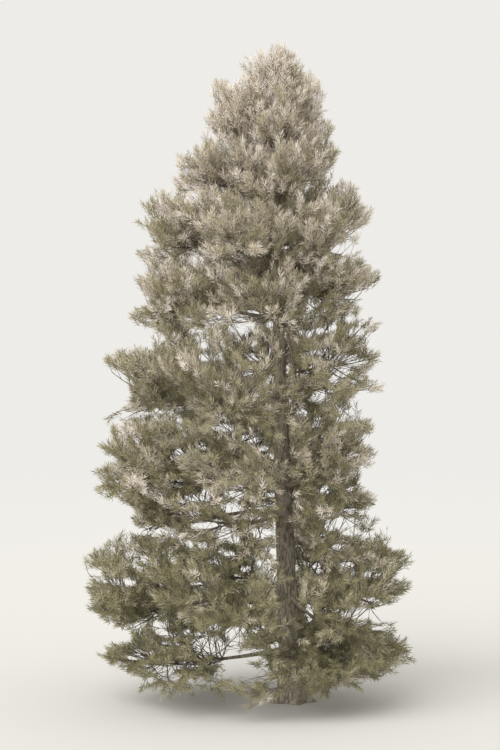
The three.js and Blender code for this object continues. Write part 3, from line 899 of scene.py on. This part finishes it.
def needleMaterial(name, color):
    material, surface, place = newMaterial(name, needleFinish["roughness"], needleFinish["specular"])
    colors = [tuple(shade * part for part in color) for shade in needleFinish["shades"]]
    mixed = noiseMix(material, place, colors, needleFinish["patches"])
    material.node_tree.links.new(mixed, surface.inputs["Base Color"])
    return material


bark = {
    "colors": ((0.150, 0.130, 0.098), (0.410, 0.358, 0.280)),  # of furrows and of plates
    "grain": (26.0, 6.0, (0.38, 0.62)),  # scale, detail and range of the noise
    "lichenColor": (0.47, 0.45, 0.355),
    "lichenShares": ((0, 0, 0), (0.6, 0.6, 0.6)),
    "lichen": (4.0, 5.0, (0.52, 0.68)),
    "roughness": 0.9,
    "specular": 0.2,
    "bump": {"Strength": 0.8, "Distance": 0.02},
    "plateScale": 13.0,
    "stretch": 0.28,  # a plate's width as a share of its length
    "warp": 0.35,  # how far plates are pushed out of shape
    "warpScale": 0.7,
    "furrowWidth": 0.32,
    "furrowPower": 1.5,
    "roughShare": 0.2,  # share of the depth that is a finer roughness
    "roughScale": 3.1,
    "depth": 0.016,
    "thinUnder": 0.16,  # radius under which the relief gets shallower
    "sides": 84,
    "rings": 300,
    "closerAtFoot": 1.15,
    "seed": 12,  # of the noise, which otherwise differs from run to run
}

boughBark = {
    "sides": 14,
    "rings": 32,
    "roughScale": 28.0,
    "depth": 0.16,  # share of the bough's radius
}

twigBark = {
    "colors": ((0.12, 0.10, 0.075), (0.25, 0.21, 0.16)),
    "grain": (30.0, 4.0, (0.35, 0.65)),
    "roughness": 0.85,
}


def barkMaterial():
    material, surface, place = newMaterial("furrowedBark", bark["roughness"], bark["specular"])
    links = material.node_tree.links
    stretched = addNode(material, "ShaderNodeMapping", {"Scale": (1, 1, bark["stretch"])})
    links.new(place, stretched.inputs["Vector"])
    grain = noiseMix(material, stretched.outputs["Vector"], bark["colors"], bark["grain"])
    lichen = noiseMix(material, place, bark["lichenShares"], bark["lichen"])
    mix = addNode(material, "ShaderNodeMix", data_type="RGBA")
    mixColors = [socket for socket in mix.inputs if socket.type == "RGBA"]
    mixColors[1].default_value = (*bark["lichenColor"], 1)
    links.new(lichen, mix.inputs["Factor"])
    links.new(grain, mixColors[0])
    links.new([socket for socket in mix.outputs if socket.type == "RGBA"][0], surface.inputs["Base Color"])
    bump = addNode(material, "ShaderNodeBump", bark["bump"])
    links.new(grain, bump.inputs["Height"])
    links.new(bump.outputs["Normal"], surface.inputs["Normal"])
    return material


def twigMaterial():
    material, surface, place = newMaterial("twigBark", twigBark["roughness"])
    mixed = noiseMix(material, place, twigBark["colors"], twigBark["grain"])
    material.node_tree.links.new(mixed, surface.inputs["Base Color"])
    return material


# bark with real relief

# Noise from 0 to 1 at a point.
def noiseShare(point):
    return 0.5 + 0.5 * noise.noise(point)


# How deep the bark lies under its plates at a point, from 0 on a plate to 1 in a furrow.
def furrowDepth(x, y, z):
    point = Vector((x, y, z * bark["stretch"])) * bark["plateScale"]
    warp = noise.noise_vector(point * bark["warpScale"]) * bark["warp"]
    distances = noise.voronoi(point + warp)[0]
    edge = min(1.0, (distances[1] - distances[0]) / bark["furrowWidth"])
    furrow = (1 - edge) ** bark["furrowPower"]
    return furrow * (1 - bark["roughShare"]) + bark["roughShare"] * noiseShare(point * bark["roughScale"])


def makeTrunk(material):
    noise.seed_set(bark["seed"])
    shares = np.linspace(0, 1, bark["rings"]) ** bark["closerAtFoot"]
    heights = shares * trunk["height"]
    turns = np.arange(bark["sides"]) * fullTurn / bark["sides"]
    height, turn = np.meshgrid(heights, turns, indexing="ij")
    radius = trunkRadius(height, turn)
    centres = trunkCentre(height)
    x = centres[..., 0] + radius * np.cos(turn)
    y = centres[..., 1] + radius * np.sin(turn)
    relief = np.array([furrowDepth(*point) for point in zip(x.ravel(), y.ravel(), height.ravel())])
    depth = bark["depth"] * np.minimum(1, radius / bark["thinUnder"]) * relief.reshape(radius.shape)
    radius = radius - depth
    vertices = centres.copy()
    vertices[..., 0] += radius * np.cos(turn)
    vertices[..., 1] += radius * np.sin(turn)
    index = np.arange(vertices[..., 0].size).reshape(vertices.shape[:2])
    nextIndex = np.roll(index, -1, 1)
    faces = np.stack([index[:-1], nextIndex[:-1], nextIndex[1:], index[1:]], -1).reshape(-1, 4)
    split = np.concatenate([faces[:, [0, 1, 2]], faces[:, [0, 2, 3]]])
    foot, tip = index.size, index.size + 1
    under = [(b, a, foot) for a, b in zip(index[0], nextIndex[0])]
    above = [(a, b, tip) for a, b in zip(index[-1], nextIndex[-1])]
    points = np.concatenate([vertices.reshape(-1, 3), [trunkCentre(0.0), trunkCentre(trunk["height"])]])
    triangles = np.concatenate([split, under, above])
    piece = makePiece("trunkBark", points, triangles, material, "bark", ["trunk"], smooth=True)
    piece.data.polygons.foreach_set("use_smooth", np.arange(len(triangles)) < len(split))


# Boughs from the trunk to where the foliage begins, with a swollen collar and rough bark.
def makeBoughs(masses, material):
    lines, radii = [], []
    for mass in masses:
        if mass["boughLine"] is None:
            continue
        shares = np.linspace(0, 1, boughBark["rings"])
        line = smoothCurve(mass["boughLine"], shares)
        bare = shares * mass["stemShare"] * mass["reach"] - trunkRadius(line[0, 2], mass["turn"])
        collar = 1 + bough["collar"] * np.exp(-np.maximum(0, bare) / bough["collarLength"])
        lines.append(line)
        radii.append(mass["footRadius"] * lerp(1, bough["tipShare"], shares) * collar)
    lines, radii = np.array(lines), np.array(radii)
    vertices, faces = tubes(lines, radii, boughBark["sides"])
    centres = np.repeat(lines.reshape(-1, 3), boughBark["sides"], axis=0)
    relief = [noiseShare(Vector(point) * boughBark["roughScale"]) for point in vertices]
    vertices = centres + (vertices - centres) * (1 - boughBark["depth"] * np.array(relief))[:, None]
    makePiece("boughBark", vertices, faces, material, "bark", boughNodes, smooth=True)


# foliage as joined meshes

foliage = {
    "seed": 5,
    "mostNeedles": 95000,  # in one piece
}


# The number of each branchlet's tint, dealt out by its height: darker low down and paler high up, as painted
# shade below and painted light above.
def dealTints(branchlets, chance):
    heights = [root[2] for root, direction, length in branchlets]
    weights = np.array([np.interp(heights, tintAndPaintedLightHeights, tint["shares"]) for tint in needleTints.values()]).T
    bounds = np.cumsum(weights / weights.sum(1, keepdims=True), axis=1)
    return (chance.random(len(branchlets))[:, None] > bounds).sum(1)


def twigTubes(stemLine, stemFoot, twigs, branchlets):
    stemRadii = np.linspace(stemFoot, stem["endRadius"], len(stemLine))
    yield tubes(stemLine[None], stemRadii[None], stem["sides"])
    lines = np.array(twigs).reshape(-1, twig["points"], 3)
    twigRadii = np.linspace(*twig["radii"], twig["points"])
    yield tubes(lines, np.broadcast_to(twigRadii, lines.shape[:2]), twig["sides"])
    ends = np.array([(root, root + direction * length) for root, direction, length in branchlets])
    yield tubes(ends, np.broadcast_to(branchlet["radii"], ends.shape[:2]), branchlet["sides"])


def growFoliage(masses):
    chance = np.random.default_rng(foliage["seed"])
    twigParts, shootParts = [], []
    needles = {name: [] for name in needleTints}
    leader, topBranchlets = growTop()
    plants = [(mass, *growMass(mass)) for mass in masses] + [(None, leader, [], topBranchlets)]
    for mass, stemLine, twigs, branchlets in plants:
        stemFoot = mass["stemFoot"] if mass else trunk["tipRadius"]
        twigParts += twigTubes(stemLine, stemFoot, twigs, branchlets)
        roots, directions, lengths, owners = growShoots(branchlets, chance)
        if mass:
            kept = standsFree(mass, roots, directions, lengths, chance)
            roots, directions, lengths, owners = roots[kept], directions[kept], lengths[kept], owners[kept]
        shootParts.append(shootCones(roots, directions, lengths))
        tints = dealTints(branchlets, chance)[owners]
        blades = growNeedles(roots, directions, lengths, chance)
        fringe = chance.uniform(*gapFringe, (len(roots), 1))  # how far each shoot stands into a gap
        clear = ~inGap(blades[:, :, 2], openings, fringe) & ~inGap(blades[:, :, 1], openings, fringe)
        for number, name in enumerate(needleTints):
            needles[name].append(blades[(tints == number)[:, None] & clear])
    print("shoots", sum(len(faces) // 3 for points, faces in shootParts), "on", len(plants), "masses")
    return twigParts, shootParts, {name: np.concatenate(parts) for name, parts in needles.items()}


def makeNeedles(name, blades):
    finish = needleMaterial(name + "Needles", needleTints[name]["color"])
    count = math.ceil(len(blades) / foliage["mostNeedles"])
    for number, part in enumerate(np.array_split(blades, count), 1):
        faces = np.arange(4 * len(part)).reshape(-1, 4)
        makePiece(f"{name}Needles_{number}", part.reshape(-1, 3), faces, finish, "needles", foliageNodes)


# making

makeCamera()
makeLight()
makeFloor()
print("studio is ready")

masses = planTree()
barkFinish = barkMaterial()
makeTrunk(barkFinish)
makeBoughs(masses, barkFinish)
print("trunk and boughs are ready")

twigParts, shootParts, needles = growFoliage(masses)
twigFinish = twigMaterial()
makePiece("twigs", *joinParts(twigParts), twigFinish, "bark", foliageNodes, smooth=True)
makePiece("shoots", *joinParts(shootParts), twigFinish, "bark", foliageNodes)
for name, blades in needles.items():
    makeNeedles(name, blades)
print("foliage is ready")
